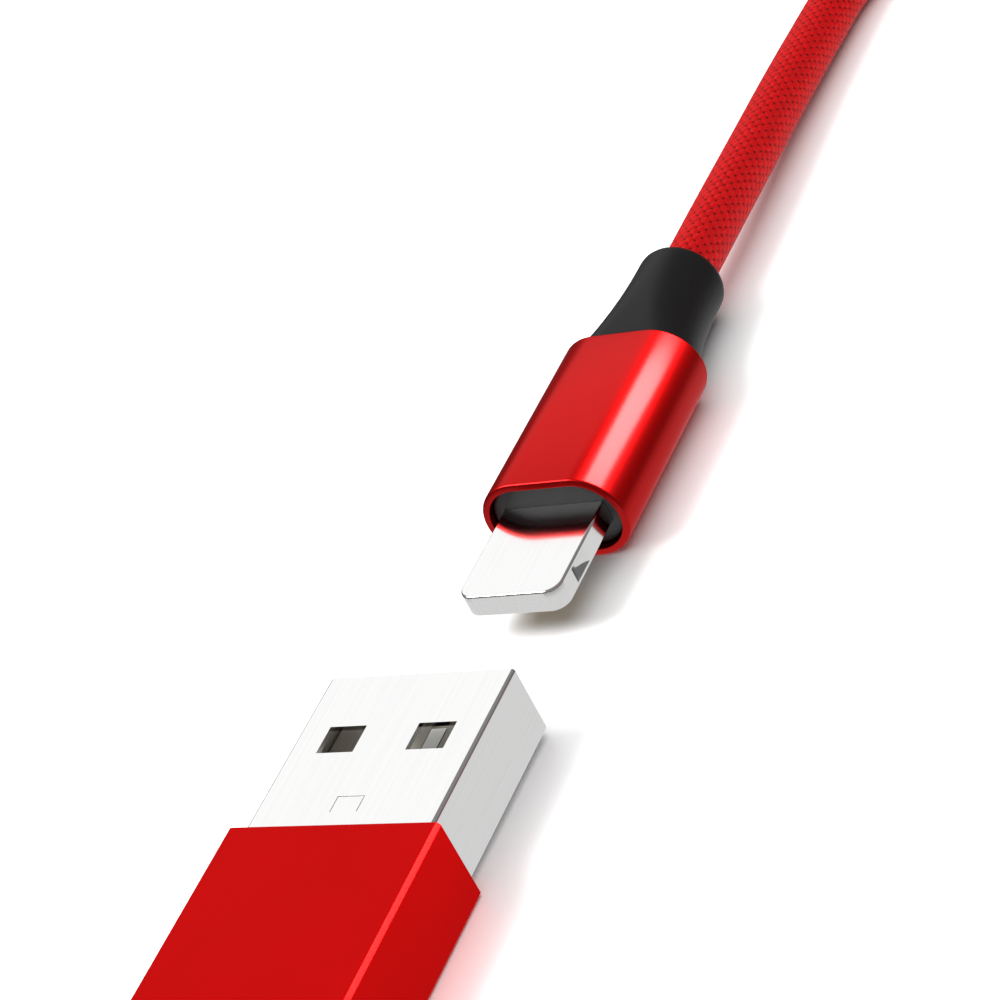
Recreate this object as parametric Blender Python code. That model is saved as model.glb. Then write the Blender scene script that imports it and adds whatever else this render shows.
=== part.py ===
"""A braided charging cable, one metre from tip to tip: a flat charger plug at one end, a slim phone
plug at the other, and the cable between them wound into a small coil that a strap holds shut.

Metres, +Z up. The origin is the middle of the charger plug's flat underside, on the table. Both
plugs lie along the line halfway between +X and +Y, with their tips facing each other.
"""

import math

import bmesh
import bpy
import numpy as np
from mathutils import Matrix, Vector

MM = 0.001
GAP = 0.1 * MM  # between two pieces that fit into each other

# The line that both plugs lie on, and the side of it that the phone plug is shifted to
LAY_ANGLE = math.radians(45)
ALONG = Vector((math.cos(LAY_ANGLE), math.sin(LAY_ANGLE), 0))
ASIDE = Vector((math.sin(LAY_ANGLE), -math.cos(LAY_ANGLE), 0))

# Cable
CABLE_D = 3.5 * MM
WIRE_D = 0.7 * MM
WIRE_COLOURS = ("red", "white", "green", "black")
CABLE_POINT_SPACING = 2 * CABLE_D

# Charger plug: its axis runs along local Y, and its front face, the seat, is at local Y = 0
HOUSING = (13.5 * MM, 20 * MM, 5.4 * MM)
HOUSING_WALL = (0.6 * MM, 0.35 * MM)  # at the sides, and above and below
SHELL = (12 * MM, 4.5 * MM)
SHELL_WALL = 0.3 * MM
SHELL_OUT = 11.75 * MM
SHELL_IN = 6 * MM
WINDOW = (2.4 * MM, 2 * MM)
WINDOW_X = 2.9 * MM
WINDOW_FROM_TIP = 5 * MM
CONTACT_X = (-3.5 * MM, -1 * MM, 1 * MM, 3.5 * MM)
CONTACT_NAMES = ("power", "data_minus", "data_plus", "ground")
CONTACT_W = 1 * MM
CONTACT_T = 0.2 * MM
CHARGER_JACKET_END = 13 * MM  # how far behind the seat the cable's jacket is cut off
CHARGER_BOOT_OUT = 9 * MM
CHARGER_NECK_D = 5.2 * MM

# Phone plug: the same layout, with its seat at the sleeve's front rim
SLEEVE = (9.4 * MM, 13.8 * MM, 5.7 * MM)
SLEEVE_WALL = 0.45 * MM
INSERT_RECESS = 0.5 * MM
INSERT_LONG = 3 * MM
TONGUE = (6.7 * MM, 7.1 * MM, 1.5 * MM)
TONGUE_IN = 4 * MM
TONGUE_CORNER = 1 * MM
DETENT_FROM_TIP = 3 * MM
DETENT_R = 1.4 * MM
DETENT_DEEP = 0.35 * MM
DETENT_HIGH = 1 * MM
PIN_COUNT = 8
PIN_PITCH = 0.54 * MM
PIN = (0.38 * MM, 2.6 * MM, 0.16 * MM)
PIN_FROM_TIP = 1.3 * MM
PHONE_JACKET_END = 9.6 * MM
PHONE_BOOT_OUT = 9 * MM
PHONE_NECK_D = 5.6 * MM

# Where the plugs lie
CHARGER_SEAT = ALONG * (HOUSING[1] / 2) + Vector((0, 0, HOUSING[2] / 2))
PHONE_SEAT = ALONG * 36.4 * MM + ASIDE * 1.5 * MM + Vector((0, 0, SLEEVE[2] / 2))

# Coil: two flat layers of turns, wound inwards on the table and outwards on top of it
COIL_CENTRE = Vector((64.2 * MM, -25 * MM, 0))
COIL_INNER_R = 15.93 * MM
COIL_TURNS = 5.25
TURN_PITCH = 3.65 * MM
COIL_OUTER_R = COIL_INNER_R + COIL_TURNS / 2 * TURN_PITCH
COIL_HIGH = CABLE_D + TURN_PITCH
TIE_AT = math.radians(-45)
TIE_W = 6 * MM
TIE_T = 0.8 * MM
TIE_GAP = 0.3 * MM

REST_Z = CABLE_D / 2  # the cable's middle where it lies on the table


def along_plugs(forward, aside, height):
    """A point of the table given along and beside the line of the plugs, in millimetres."""
    return (ALONG * forward + ASIDE * aside) * MM + Vector((0, 0, height * MM))


# The cable's route, in the order that it runs: from inside the phone plug to the coil, and from
# the coil into the charger plug. Between them its turns follow coil_point().
PHONE_ROUTE = [
    along_plugs(46.0, 1.5, 2.85),
    along_plugs(52.0, 1.5, 2.85),
    along_plugs(60.0, 1.5, 2.85),
    along_plugs(66.0, 1.4, 2.75),
    along_plugs(73.0, 1.2, 2.5),
    along_plugs(81.0, 0.95, 2.2),
    along_plugs(90.0, 0.9, 1.9),
    Vector((0.0690, 0.0669, REST_Z)),
    Vector((0.0760, 0.0683, REST_Z)),
    Vector((0.0826, 0.0661, REST_Z)),
    Vector((0.0872, 0.0613, REST_Z)),
    Vector((0.0889, 0.0540, REST_Z)),
    Vector((0.0892, 0.0350, REST_Z)),
    Vector((0.0894, 0.0150, REST_Z)),
    Vector((0.0897, -0.0080, REST_Z)),
]
CHARGER_ROUTE = [
    Vector((0.0510, -0.0501, 0.0040)),
    Vector((0.0390, -0.0493, 0.0021)),
    Vector((0.0270, -0.0475, REST_Z)),
    Vector((0.0130, -0.0434, REST_Z)),
    Vector((0.0010, -0.0382, REST_Z)),
    along_plugs(-30.5, 14.0, 1.75),
    along_plugs(-30.8, 9.0, 1.8),
    along_plugs(-29.0, 4.6, 2.0),
    along_plugs(-25.5, 1.4, 2.35),
    along_plugs(-21.2, 0.1, 2.65),
    along_plugs(-17.0, 0, 2.7),
    along_plugs(-10.0, 0, 2.7),
    along_plugs(-3.0, 0, 2.7),
]


def coil_point(turn):
    """Where the cable's middle is after that many turns, clockwise from the coil's +X side."""
    middle = COIL_TURNS / 2
    radius = COIL_INNER_R + abs(turn - middle) * TURN_PITCH
    climb = min(max((turn - middle) * 2 + 0.5, 0), 1)
    height = REST_Z + TURN_PITCH * climb * climb * (3 - 2 * climb)
    angle = -2 * math.pi * turn
    offset = Vector((radius * math.cos(angle), radius * math.sin(angle), height))
    return COIL_CENTRE + offset


def smooth_curve(points, spacing):
    """Points at about that spacing on the natural cubic spline through the given ones."""
    knots = np.array([tuple(point) for point in points])
    count = len(knots)
    at = np.concatenate([[0], np.cumsum(np.linalg.norm(np.diff(knots, axis=0), axis=1))])
    step = np.diff(at)
    matrix, right = np.eye(count), np.zeros_like(knots)
    for i in range(1, count - 1):
        matrix[i, i - 1 : i + 2] = step[i - 1], 2 * (step[i - 1] + step[i]), step[i]
        slopes = (knots[i + 1] - knots[i]) / step[i] - (knots[i] - knots[i - 1]) / step[i - 1]
        right[i] = 6 * slopes
    bends = np.linalg.solve(matrix, right)
    wanted = np.linspace(0, at[-1], round(at[-1] / spacing) + 1)
    i = np.clip(np.searchsorted(at, wanted, side="right") - 1, 0, count - 2)
    before, after = ((at[i + 1] - wanted) / step[i])[:, None], ((wanted - at[i]) / step[i])[:, None]
    line = before * knots[i] + after * knots[i + 1]
    line += (before**3 - before) * bends[i] * (step[i] ** 2)[:, None] / 6
    line += (after**3 - after) * bends[i + 1] * (step[i] ** 2)[:, None] / 6
    return [Vector(point) for point in line]


def material(name, colour, roughness, metallic=0.0):
    made = bpy.data.materials.new(name)
    made.use_nodes = True
    shader = made.node_tree.nodes["Principled BSDF"]
    shader.inputs["Base Color"].default_value = (*colour, 1)
    shader.inputs["Roughness"].default_value = roughness
    shader.inputs["Metallic"].default_value = metallic
    return made


def add_object(name, data, look, parent=None):
    made = bpy.data.objects.new(name, data)
    data.materials.append(look)
    made.parent = parent
    bpy.context.collection.objects.link(made)
    return made


def add_mesh(name, bm, look, parent=None):
    """A mesh object from bm, smooth where its faces meet at a shallow angle."""
    mesh = bpy.data.meshes.new(name)
    bm.to_mesh(mesh)
    bm.free()
    mesh.shade_smooth()
    mesh.set_sharp_from_angle(angle=math.radians(35))
    return add_object(name, mesh, look, parent)


def block(name, low, high, look, parent, edge=0.0):
    """A box between two corners, with its edges rounded to the given radius."""
    bm = bmesh.new()
    bmesh.ops.create_cube(bm, size=1)
    low, high = Vector(low), Vector(high)
    size = Matrix.Diagonal((*(high - low), 1))
    bmesh.ops.transform(bm, matrix=Matrix.Translation((low + high) / 2) @ size, verts=bm.verts)
    if edge:
        bmesh.ops.bevel(bm, geom=bm.edges[:], offset=edge, segments=2, profile=0.5, affect="EDGES")
    return add_mesh(name, bm, look, parent)


def ring(width, height, radius, y, corner_steps=5):
    """A rounded rectangle across the plug's axis at y. With a radius of nearly half its height
    it is a stadium, and with equal sides as well it is a circle."""
    radius = min(radius, 0.49 * width, 0.49 * height)
    points = []
    for quarter, (side_x, side_z) in enumerate(((1, 1), (-1, 1), (-1, -1), (1, -1))):
        centre = Vector((side_x * (width / 2 - radius), y, side_z * (height / 2 - radius)))
        for step in range(corner_steps + 1):
            angle = math.pi / 2 * (quarter + step / corner_steps)
            points.append(centre + Vector((math.cos(angle), 0, math.sin(angle))) * radius)
    return points


def circle(diameter, y, corner_steps=5):
    return ring(diameter, diameter, diameter / 2, y, corner_steps)


def loft(name, rings, look, parent):
    """A solid whose surface runs through the rings in turn and back to the first one: down the
    outside from the plug's tip side, and back up through the hole."""
    bm = bmesh.new()
    loops = [[bm.verts.new(point) for point in points] for points in rings]
    for near, far in zip(loops, loops[1:] + loops[:1]):
        for i, vert in enumerate(near):
            bm.faces.new((near[i - 1], vert, far[i], far[i - 1]))
    return add_mesh(name, bm, look, parent)


def extrude_outline(name, outline, depth, look, parent=None):
    """A solid drawn out from a flat outline along the depth vector."""
    bm = bmesh.new()
    face = bm.faces.new([bm.verts.new(point) for point in outline])
    drawn = bmesh.ops.extrude_face_region(bm, geom=[face])["geom"]
    verts = [item for item in drawn if isinstance(item, bmesh.types.BMVert)]
    bmesh.ops.translate(bm, vec=depth, verts=verts)
    bmesh.ops.recalc_face_normals(bm, faces=bm.faces)
    return add_mesh(name, bm, look, parent)


def cut(target, cutter):
    """Takes the cutter's shape out of the target, and keeps the cutter as a hidden guide."""
    cutter.hide_render = True
    cutter.display_type = "WIRE"
    boolean = target.modifiers.new("cut " + cutter.name, "BOOLEAN")
    boolean.operation = "DIFFERENCE"
    boolean.object = cutter


def tube(name, points, diameter, look, parent=None, resolution=2):
    """A round tube with closed ends along the points."""
    curve = bpy.data.curves.new(name, "CURVE")
    curve.dimensions = "3D"
    curve.bevel_depth = diameter / 2
    curve.bevel_resolution = resolution
    curve.use_fill_caps = True
    spline = curve.splines.new("POLY")
    spline.points.add(len(points) - 1)
    for target, point in zip(spline.points, points):
        target.co = (*point, 1)
    return add_object(name, curve, look, parent)


def plug_axis(name, seat, tip_direction):
    """An empty at a plug's seat, with its Y axis towards the plug's tip."""
    axis = bpy.data.objects.new(name, None)
    axis.location = seat
    axis.rotation_euler.z = math.atan2(tip_direction.y, tip_direction.x) - math.pi / 2
    bpy.context.collection.objects.link(axis)
    return axis


def tunnel(name, size, hole, front, back, looks, parent):
    """A moulded block with a passage along the plug's axis for the wires."""
    rings = [
        ring(*size, front),
        ring(*size, back),
        ring(*hole, back),
        ring(*hole, front),
    ]
    return loft(name, rings, looks["white_plastic"], parent)


def boot(name, base, base_radius, neck_d, front, back, out, looks, parent):
    """A moulded boot: its base fills the plug's rear opening, its outside sweeps in to a round
    neck, and the cable runs through it."""
    lip = 0.8 * MM
    bore = CABLE_D + 3 * GAP
    rings = [ring(*base, base_radius, front)]
    steps = 9
    for step in range(steps + 1):
        share = step / steps
        sweep = (1 - share) ** 2.4
        width = neck_d + (base[0] - neck_d) * sweep
        height = neck_d + (base[1] - neck_d) * sweep
        radius = base_radius + (neck_d / 2 - base_radius) * min(1, 2 * share)
        rings.append(ring(width, height, radius, back - (out - lip) * share))
    for angle in (math.radians(degrees) for degrees in (30, 60, 90)):
        diameter = neck_d - 2 * lip * (1 - math.cos(angle))
        rings.append(circle(diameter, back - out + lip * (1 - math.sin(angle))))
    rings += [circle(bore, back - out), circle(bore, front)]
    return loft(name, rings, looks["black_rubber"], parent)


def crimp_collar(name, front, back, looks, parent):
    """The pressed steel ring that grips the end of the cable's jacket."""
    inner, outer = CABLE_D + 2 * GAP, CABLE_D + 0.75 * MM
    rings = [circle(outer, front), circle(outer, back), circle(inner, back), circle(inner, front)]
    return loft(name, rings, looks["steel"], parent)


def wires(prefix, fronts, front_y, back_y, looks, parent):
    """The four insulated wires, from the given points behind the contacts into the jacket."""
    for i, (colour, (x, z)) in enumerate(zip(WIRE_COLOURS, fronts)):
        in_cable = Vector((0.5 * MM * (-1 if i < 2 else 1), 0, 0.5 * MM * (-1) ** i))
        start, end = Vector((x, front_y, z)), Vector((in_cable.x, back_y, in_cable.z))
        long = Vector((0, (front_y - back_y) / 3, 0))
        route = [start, start - long, end + long, end]
        points = smooth_curve(route, 1.0 * MM)
        tube(f"{prefix}_wire_{colour}", points, WIRE_D, looks["wire_" + colour], parent, 1)


def charger_plug(looks):
    axis = plug_axis("charger_axis", CHARGER_SEAT, ALONG)
    width, long, high = HOUSING
    opening = (width - 2 * HOUSING_WALL[0], high - 2 * HOUSING_WALL[1])
    inner = (opening[0] - 2 * GAP, opening[1] - 2 * GAP)

    # Housing: a square aluminium tube with sharp long edges and broken rims
    rim = 0.12 * MM
    edge = 0.3 * MM
    rings = [ring(width - 2 * rim, high - 2 * rim, edge, 0, 3)]
    rings += [ring(width, high, edge, -rim, 3), ring(width, high, edge, rim - long, 3)]
    rings += [ring(width - 2 * rim, high - 2 * rim, edge, -long, 3)]
    rings += [ring(*opening, edge, -long, 3), ring(*opening, edge, 0, 3)]
    loft("charger_housing", rings, looks["red_aluminium"], axis)

    # Shell: folded sheet steel, with two windows above and two below
    shell_hole = (SHELL[0] - 2 * SHELL_WALL, SHELL[1] - 2 * SHELL_WALL)
    corner = 0.45 * MM
    lead_in = 0.15 * MM
    rings = [ring(SHELL[0] - 2 * lead_in, SHELL[1] - 2 * lead_in, corner - lead_in, SHELL_OUT)]
    rings += [ring(*SHELL, corner, SHELL_OUT - lead_in), ring(*SHELL, corner, -SHELL_IN)]
    rings += [ring(*shell_hole, corner - SHELL_WALL, y) for y in (-SHELL_IN, SHELL_OUT)]
    shell = loft("charger_shell", rings, looks["plated_steel"], axis)
    window_y = SHELL_OUT - WINDOW_FROM_TIP
    for name, side in (("left", -1), ("right", 1)):
        x = side * WINDOW_X
        low = (x - WINDOW[0] / 2, window_y - WINDOW[1] / 2, -SHELL[1])
        high_corner = (x + WINDOW[0] / 2, window_y + WINDOW[1] / 2, SHELL[1])
        cut(shell, block(f"window_cutter_{name}", low, high_corner, looks["steel"], axis))

    # Contact block: fills the lower half of the shell, with a groove for each contact
    block_front = SHELL_OUT - 0.5 * MM
    floor, top = -shell_hole[1] / 2 + GAP, 0.0
    half = shell_hole[0] / 2 - GAP
    groove_w, groove_deep = CONTACT_W + 2 * GAP, CONTACT_T + 0.5 * GAP
    outline = [(half, floor), (half, top)]
    for x in reversed(CONTACT_X):
        outline += [(x + groove_w / 2, top), (x + groove_w / 2, top - groove_deep)]
        outline += [(x - groove_w / 2, top - groove_deep), (x - groove_w / 2, top)]
    outline += [(-half, top), (-half, floor)]
    points = [Vector((x, -SHELL_IN, z)) for x, z in outline]
    depth = Vector((0, block_front + SHELL_IN, 0))
    extrude_outline("charger_contact_block", points, depth, looks["white_plastic"], axis)

    # Contacts: gold-plated strips, the outer two a millimetre nearer the tip
    contact_low = top - CONTACT_T
    tail = SHELL_IN + 1.8 * MM
    for name, x in zip(CONTACT_NAMES, CONTACT_X):
        front = block_front - (0.6 * MM if abs(x) > 2 * MM else 1.6 * MM)
        low = (x - CONTACT_W / 2, -tail, contact_low + 0.5 * GAP)
        high_corner = (x + CONTACT_W / 2, front, contact_low + CONTACT_T + 0.5 * GAP)
        block("charger_contact_" + name, low, high_corner, looks["gold"], axis)

    # Behind the shell: the inner mould, the wires in its passage, the collar and the boot
    jacket = -CHARGER_JACKET_END
    passage = (9.6 * MM, 2.6 * MM, 0.5 * MM)
    mould_back = jacket + 0.3 * MM
    sizes = ((*inner, edge), passage)
    tunnel("charger_inner_mould", *sizes, -SHELL_IN - 0.3 * MM, mould_back, looks, axis)
    fronts = [(x, contact_low + CONTACT_T / 2) for x in CONTACT_X]
    wires("charger", fronts, -tail - 0.2 * MM, jacket + 0.4 * MM, looks, axis)
    collar_back = jacket - 3.3 * MM
    crimp_collar("charger_crimp_collar", jacket - 0.3 * MM, collar_back, looks, axis)
    boot_front = collar_back - 0.3 * MM
    sizes = (inner, edge, CHARGER_NECK_D, boot_front, -long, CHARGER_BOOT_OUT)
    boot("charger_boot", *sizes, looks, axis)


def tongue_outline():
    """The tongue seen from above: square behind, with rounded corners at the tip."""
    half, tip = TONGUE[0] / 2, TONGUE[1]
    points = [Vector((half, -TONGUE_IN, 0))]
    for side, start in ((1, 0), (-1, 90)):
        centre = Vector((side * (half - TONGUE_CORNER), tip - TONGUE_CORNER, 0))
        for degrees in range(start, start + 91, 15):
            angle = math.radians(degrees)
            points.append(centre + Vector((math.cos(angle), math.sin(angle), 0)) * TONGUE_CORNER)
    return points + [Vector((-half, -TONGUE_IN, 0))]


def phone_plug(looks):
    axis = plug_axis("phone_axis", PHONE_SEAT, -ALONG)
    width, long, high = SLEEVE
    opening = (width - 2 * SLEEVE_WALL, high - 2 * SLEEVE_WALL)
    inner = (opening[0] - 2 * GAP, opening[1] - 2 * GAP)
    round_end = high / 2

    # Sleeve: an aluminium tube with round sides and broken rims
    rim = 0.12 * MM
    rings = [ring(width - 2 * rim, high - 2 * rim, round_end, 0, 8)]
    rings += [ring(width, high, round_end, -rim, 8), ring(width, high, round_end, rim - long, 8)]
    rings += [ring(width - 2 * rim, high - 2 * rim, round_end, -long, 8)]
    rings += [ring(*opening, round_end, -long, 8), ring(*opening, round_end, 0, 8)]
    loft("phone_sleeve", rings, looks["red_aluminium"], axis)

    # Nose insert: black plastic just inside the rim, with a slot that the tongue comes out of
    slot = (TONGUE[0] + 2 * GAP, TONGUE[2] + 2 * GAP, 0.1 * MM)
    front, back = -INSERT_RECESS, -INSERT_RECESS - INSERT_LONG
    rings = [ring(*inner, round_end, front), ring(*inner, round_end, back)]
    rings += [ring(*slot, back), ring(*slot, front)]
    loft("phone_nose_insert", rings, looks["black_plastic"], axis)

    # Tongue: a steel frame with a latch pocket in each side and a bed for the contacts below
    half_thick = TONGUE[2] / 2
    outline = [point - Vector((0, 0, half_thick)) for point in tongue_outline()]
    depth = Vector((0, 0, TONGUE[2]))
    tongue = extrude_outline("phone_tongue_frame", outline, depth, looks["plated_steel"], axis)
    rounding = tongue.modifiers.new("edge", "BEVEL")
    rounding.width = 0.14 * MM
    rounding.segments = 2
    rounding.angle_limit = math.radians(50)
    pin_front = TONGUE[1] - PIN_FROM_TIP
    pin_back = pin_front - PIN[1]
    bed_w = PIN_COUNT * PIN_PITCH + 0.5 * MM
    bed_margin, bed_deep = 0.5 * MM, 0.55 * MM
    low = (-bed_w / 2, pin_back - bed_margin, -2 * half_thick)
    high_corner = (bed_w / 2, pin_front + bed_margin, bed_deep - half_thick)
    cut(tongue, block("bed_cutter", low, high_corner, looks["steel"], axis))
    for name, side in (("left", -1), ("right", 1)):
        bm = bmesh.new()
        sizes = {"radius1": DETENT_R, "radius2": DETENT_R, "depth": DETENT_HIGH}
        bmesh.ops.create_cone(bm, cap_ends=True, segments=48, **sizes)
        x = side * (TONGUE[0] / 2 + DETENT_R - DETENT_DEEP)
        bmesh.ops.translate(bm, vec=(x, TONGUE[1] - DETENT_FROM_TIP, 0), verts=bm.verts)
        cut(tongue, add_mesh(f"detent_cutter_{name}", bm, looks["steel"], axis))

    # Contact carrier: plastic in the bed, with a channel for each contact
    face = GAP / 2 - half_thick
    channel_top = face + PIN[2] + GAP / 2
    carrier_top = bed_deep - half_thick - GAP
    half = bed_w / 2 - GAP
    pin_x = [(i - (PIN_COUNT - 1) / 2) * PIN_PITCH for i in range(PIN_COUNT)]
    channel_half = PIN[0] / 2 + GAP / 2
    outline = [(-half, carrier_top), (-half, face)]
    for x in pin_x:
        outline += [(x - channel_half, face), (x - channel_half, channel_top)]
        outline += [(x + channel_half, channel_top), (x + channel_half, face)]
    outline += [(half, face), (half, carrier_top)]
    carrier_y = pin_back - bed_margin + GAP
    depth = Vector((0, PIN[1] + 2 * (bed_margin - GAP), 0))
    points = [Vector((x, carrier_y, z)) for x, z in outline]
    extrude_outline("phone_contact_carrier", points, depth, looks["black_plastic"], axis)
    for number, x in enumerate(pin_x, 1):
        low = (x - PIN[0] / 2, pin_back, face)
        high_corner = (x + PIN[0] / 2, pin_front, face + PIN[2])
        block(f"phone_contact_{number}", low, high_corner, looks["gold"], axis)

    # Inside the sleeve: the small board behind the tongue, and what is soldered to it
    board_front = -TONGUE_IN - 0.3 * MM
    board_back = board_front - 4 * MM
    board_top = 0.3 * MM
    low, high_corner = (-3.1 * MM, board_back, -board_top), (3.1 * MM, board_front, board_top)
    block("phone_circuit_board", low, high_corner, looks["board"], axis)
    above = board_top + GAP
    parts = (
        ("phone_control_chip", -0.8, -1.9, 2.2, 1.8, 0.75, "chip"),
        ("phone_capacitor", 1.3, -1.4, 1.0, 0.5, 0.5, "ceramic"),
        ("phone_resistor", 1.3, -2.4, 1.0, 0.5, 0.35, "chip"),
    )
    for name, x, y, size_x, size_y, tall, look in parts:
        middle = Vector((x * MM, board_front + y * MM, above))
        reach = Vector((size_x, size_y, 0)) * MM / 2
        low, high_corner = middle - reach, middle + reach + Vector((0, 0, tall * MM))
        block(name, low, high_corner, looks[look], axis)

    # Around and behind the board: the inner mould, the wires, the collar and the boot
    jacket = -PHONE_JACKET_END
    passage = (6.8 * MM, 3.2 * MM, 0.5 * MM)
    mould_front, mould_back = back - GAP, jacket + 0.3 * MM
    tunnel("phone_inner_mould", (*inner, round_end), passage, mould_front, mould_back, looks, axis)
    fronts = [(x * MM, 0) for x in (-2.4, -0.8, 0.8, 2.4)]
    wires("phone", fronts, board_back - 0.15 * MM, jacket + 0.15 * MM, looks, axis)
    collar_back = jacket - 1.9 * MM
    crimp_collar("phone_crimp_collar", jacket - 0.3 * MM, collar_back, looks, axis)
    boot_front = collar_back - 0.3 * MM
    sizes = (inner, round_end, PHONE_NECK_D, boot_front, -long, PHONE_BOOT_OUT)
    boot("phone_boot", *sizes, looks, axis)


def coil_ring(looks):
    """The outer shape of the coiled turns: a flat ring with rounded corners, notched underneath
    where the strap passes."""
    bm = bmesh.new()
    inner, outer = COIL_INNER_R - CABLE_D / 2, COIL_OUTER_R + CABLE_D / 2
    middle = (inner + outer) / 2
    section = ring(outer - inner, COIL_HIGH, 1.2 * MM, 0, 2)
    verts = [bm.verts.new(p + Vector((middle, 0, COIL_HIGH / 2))) for p in section]
    edges = [bm.edges.new(pair) for pair in zip(verts, verts[1:] + verts[:1])]
    spin = {"axis": (0, 0, 1), "cent": (0, 0, 0), "angle": 2 * math.pi, "steps": 48}
    bmesh.ops.spin(bm, geom=edges, use_merge=True, **spin)
    bmesh.ops.recalc_face_normals(bm, faces=bm.faces)
    bmesh.ops.translate(bm, vec=COIL_CENTRE, verts=bm.verts)
    made = add_mesh("cable_coil", bm, looks["braid"])
    notch_high = TIE_T + TIE_GAP
    reach = outer - inner
    low = (middle - reach, -TIE_W / 2 - TIE_GAP, -notch_high)
    high = (middle + reach, TIE_W / 2 + TIE_GAP, notch_high)
    cutter = block("notch_cutter", low, high, looks["strap"], None)
    cutter.rotation_euler.z = TIE_AT
    cutter.location = COIL_CENTRE
    cut(made, cutter)


def coil_tie(looks):
    """The strap: a flat band once round the turns, under the coil and over it."""
    inner, outer = COIL_INNER_R - CABLE_D / 2, COIL_OUTER_R + CABLE_D / 2
    # The turns curve away inwards within the strap's width, so the band starts that much nearer
    near = math.sqrt(inner**2 - (TIE_W / 2) ** 2) - TIE_GAP
    far = outer + TIE_GAP
    hole = (far - near, COIL_HIGH + 2 * TIE_GAP, TIE_GAP)
    size = (hole[0] + 2 * TIE_T, hole[1] + 2 * TIE_T, hole[2] + TIE_T)
    front, back = TIE_W / 2, -TIE_W / 2
    rings = [ring(*size, front), ring(*size, back), ring(*hole, back), ring(*hole, front)]
    made = loft("coil_tie", rings, looks["strap"], None)
    made.rotation_euler.z = TIE_AT
    middle = Vector(((near + far) / 2, 0, size[1] / 2))
    made.location = COIL_CENTRE + Matrix.Rotation(TIE_AT, 3, "Z") @ middle


def cable(looks):
    """The two stretches that aren't coiled, each up to where it runs alongside the coil."""
    phone_end = smooth_curve(PHONE_ROUTE + [coil_point(0), coil_point(0.1)], MM)
    charger_end = smooth_curve([coil_point(COIL_TURNS)] + CHARGER_ROUTE, MM)
    clear = COIL_OUTER_R + CABLE_D + TIE_GAP
    for name, line in (("cable_to_phone", phone_end), ("cable_to_charger", charger_end)):
        free = [p for p in line if math.hypot(p.x - COIL_CENTRE.x, p.y - COIL_CENTRE.y) > clear]
        tube(name, smooth_curve(free, CABLE_POINT_SPACING), CABLE_D, looks["braid"])


def main():
    for old in list(bpy.data.objects):
        bpy.data.objects.remove(old)
    looks = {
        "red_aluminium": material("red_aluminium", (0.60, 0.008, 0.006), 0.28, 1.0),
        "plated_steel": material("plated_steel", (0.86, 0.86, 0.87), 0.08, 1.0),
        "steel": material("steel", (0.55, 0.55, 0.56), 0.35, 1.0),
        "gold": material("gold", (0.95, 0.68, 0.26), 0.2, 1.0),
        "white_plastic": material("white_plastic", (0.82, 0.81, 0.78), 0.45),
        "black_plastic": material("black_plastic", (0.015, 0.015, 0.017), 0.4),
        "black_rubber": material("black_rubber", (0.010, 0.010, 0.011), 0.5),
        "braid": material("braid", (0.52, 0.006, 0.008), 0.6),
        "board": material("board", (0.02, 0.16, 0.06), 0.4),
        "chip": material("chip", (0.02, 0.02, 0.02), 0.5),
        "ceramic": material("ceramic", (0.45, 0.30, 0.17), 0.45),
        "strap": material("strap", (0.012, 0.012, 0.013), 0.8),
        "wire_red": material("wire_red", (0.55, 0.02, 0.02), 0.45),
        "wire_white": material("wire_white", (0.80, 0.80, 0.78), 0.45),
        "wire_green": material("wire_green", (0.03, 0.35, 0.08), 0.45),
        "wire_black": material("wire_black", (0.02, 0.02, 0.02), 0.45),
    }
    charger_plug(looks)
    phone_plug(looks)
    coil_ring(looks)
    coil_tie(looks)
    cable(looks)


main()
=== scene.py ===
"""A braided charging cable, one metre from tip to tip, on a white table.

Metres, +Z up. The charger plug and the phone plug lie along one line, halfway between +X and +Y, with
their tips towards each other. The cable leaves the phone plug, is wound into a small coil that a
strap holds, and goes from there into the charger plug.
"""

import math

import bmesh
import bpy
import numpy as np
from mathutils import Matrix, Vector


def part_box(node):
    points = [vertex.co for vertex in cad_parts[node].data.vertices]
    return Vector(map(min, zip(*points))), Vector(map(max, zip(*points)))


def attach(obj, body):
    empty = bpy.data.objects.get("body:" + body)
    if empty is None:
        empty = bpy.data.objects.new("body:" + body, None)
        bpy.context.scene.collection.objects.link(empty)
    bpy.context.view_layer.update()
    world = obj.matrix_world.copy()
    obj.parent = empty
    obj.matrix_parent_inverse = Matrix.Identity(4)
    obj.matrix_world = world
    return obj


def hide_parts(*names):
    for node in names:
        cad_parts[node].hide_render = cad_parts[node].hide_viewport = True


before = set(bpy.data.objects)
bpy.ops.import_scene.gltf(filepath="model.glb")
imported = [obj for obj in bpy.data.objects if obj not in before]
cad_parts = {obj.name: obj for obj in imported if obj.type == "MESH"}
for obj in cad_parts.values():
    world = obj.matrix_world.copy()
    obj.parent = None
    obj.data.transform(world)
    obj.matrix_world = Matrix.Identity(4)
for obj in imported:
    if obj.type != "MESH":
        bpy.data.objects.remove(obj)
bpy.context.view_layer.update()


# ---- Camera
# A long lens, close above the table, turned so that the plugs climb from the lower left.

camera = bpy.data.objects.new("camera", bpy.data.cameras.new("camera"))
bpy.context.collection.objects.link(camera)
camera.data.lens = 115.2
camera.data.clip_start = 0.01
camera.location = (0.00843, -0.12908, 0.10099)
camera.rotation_euler = [math.radians(turn) for turn in (55.116, 23.722, -21.653)]
bpy.context.scene.camera = camera
bpy.context.scene.view_settings.view_transform = "Standard"


# ---- Braided cable
# Four insulated wires in a soft jacket, under a tight sleeve of red polyester yarn, 3.5 mm thick.
# A maypole machine plaits the yarn straight on to the jacket: half of its bobbins go round one way
# and half the other, each passing over and under those it meets.

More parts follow.
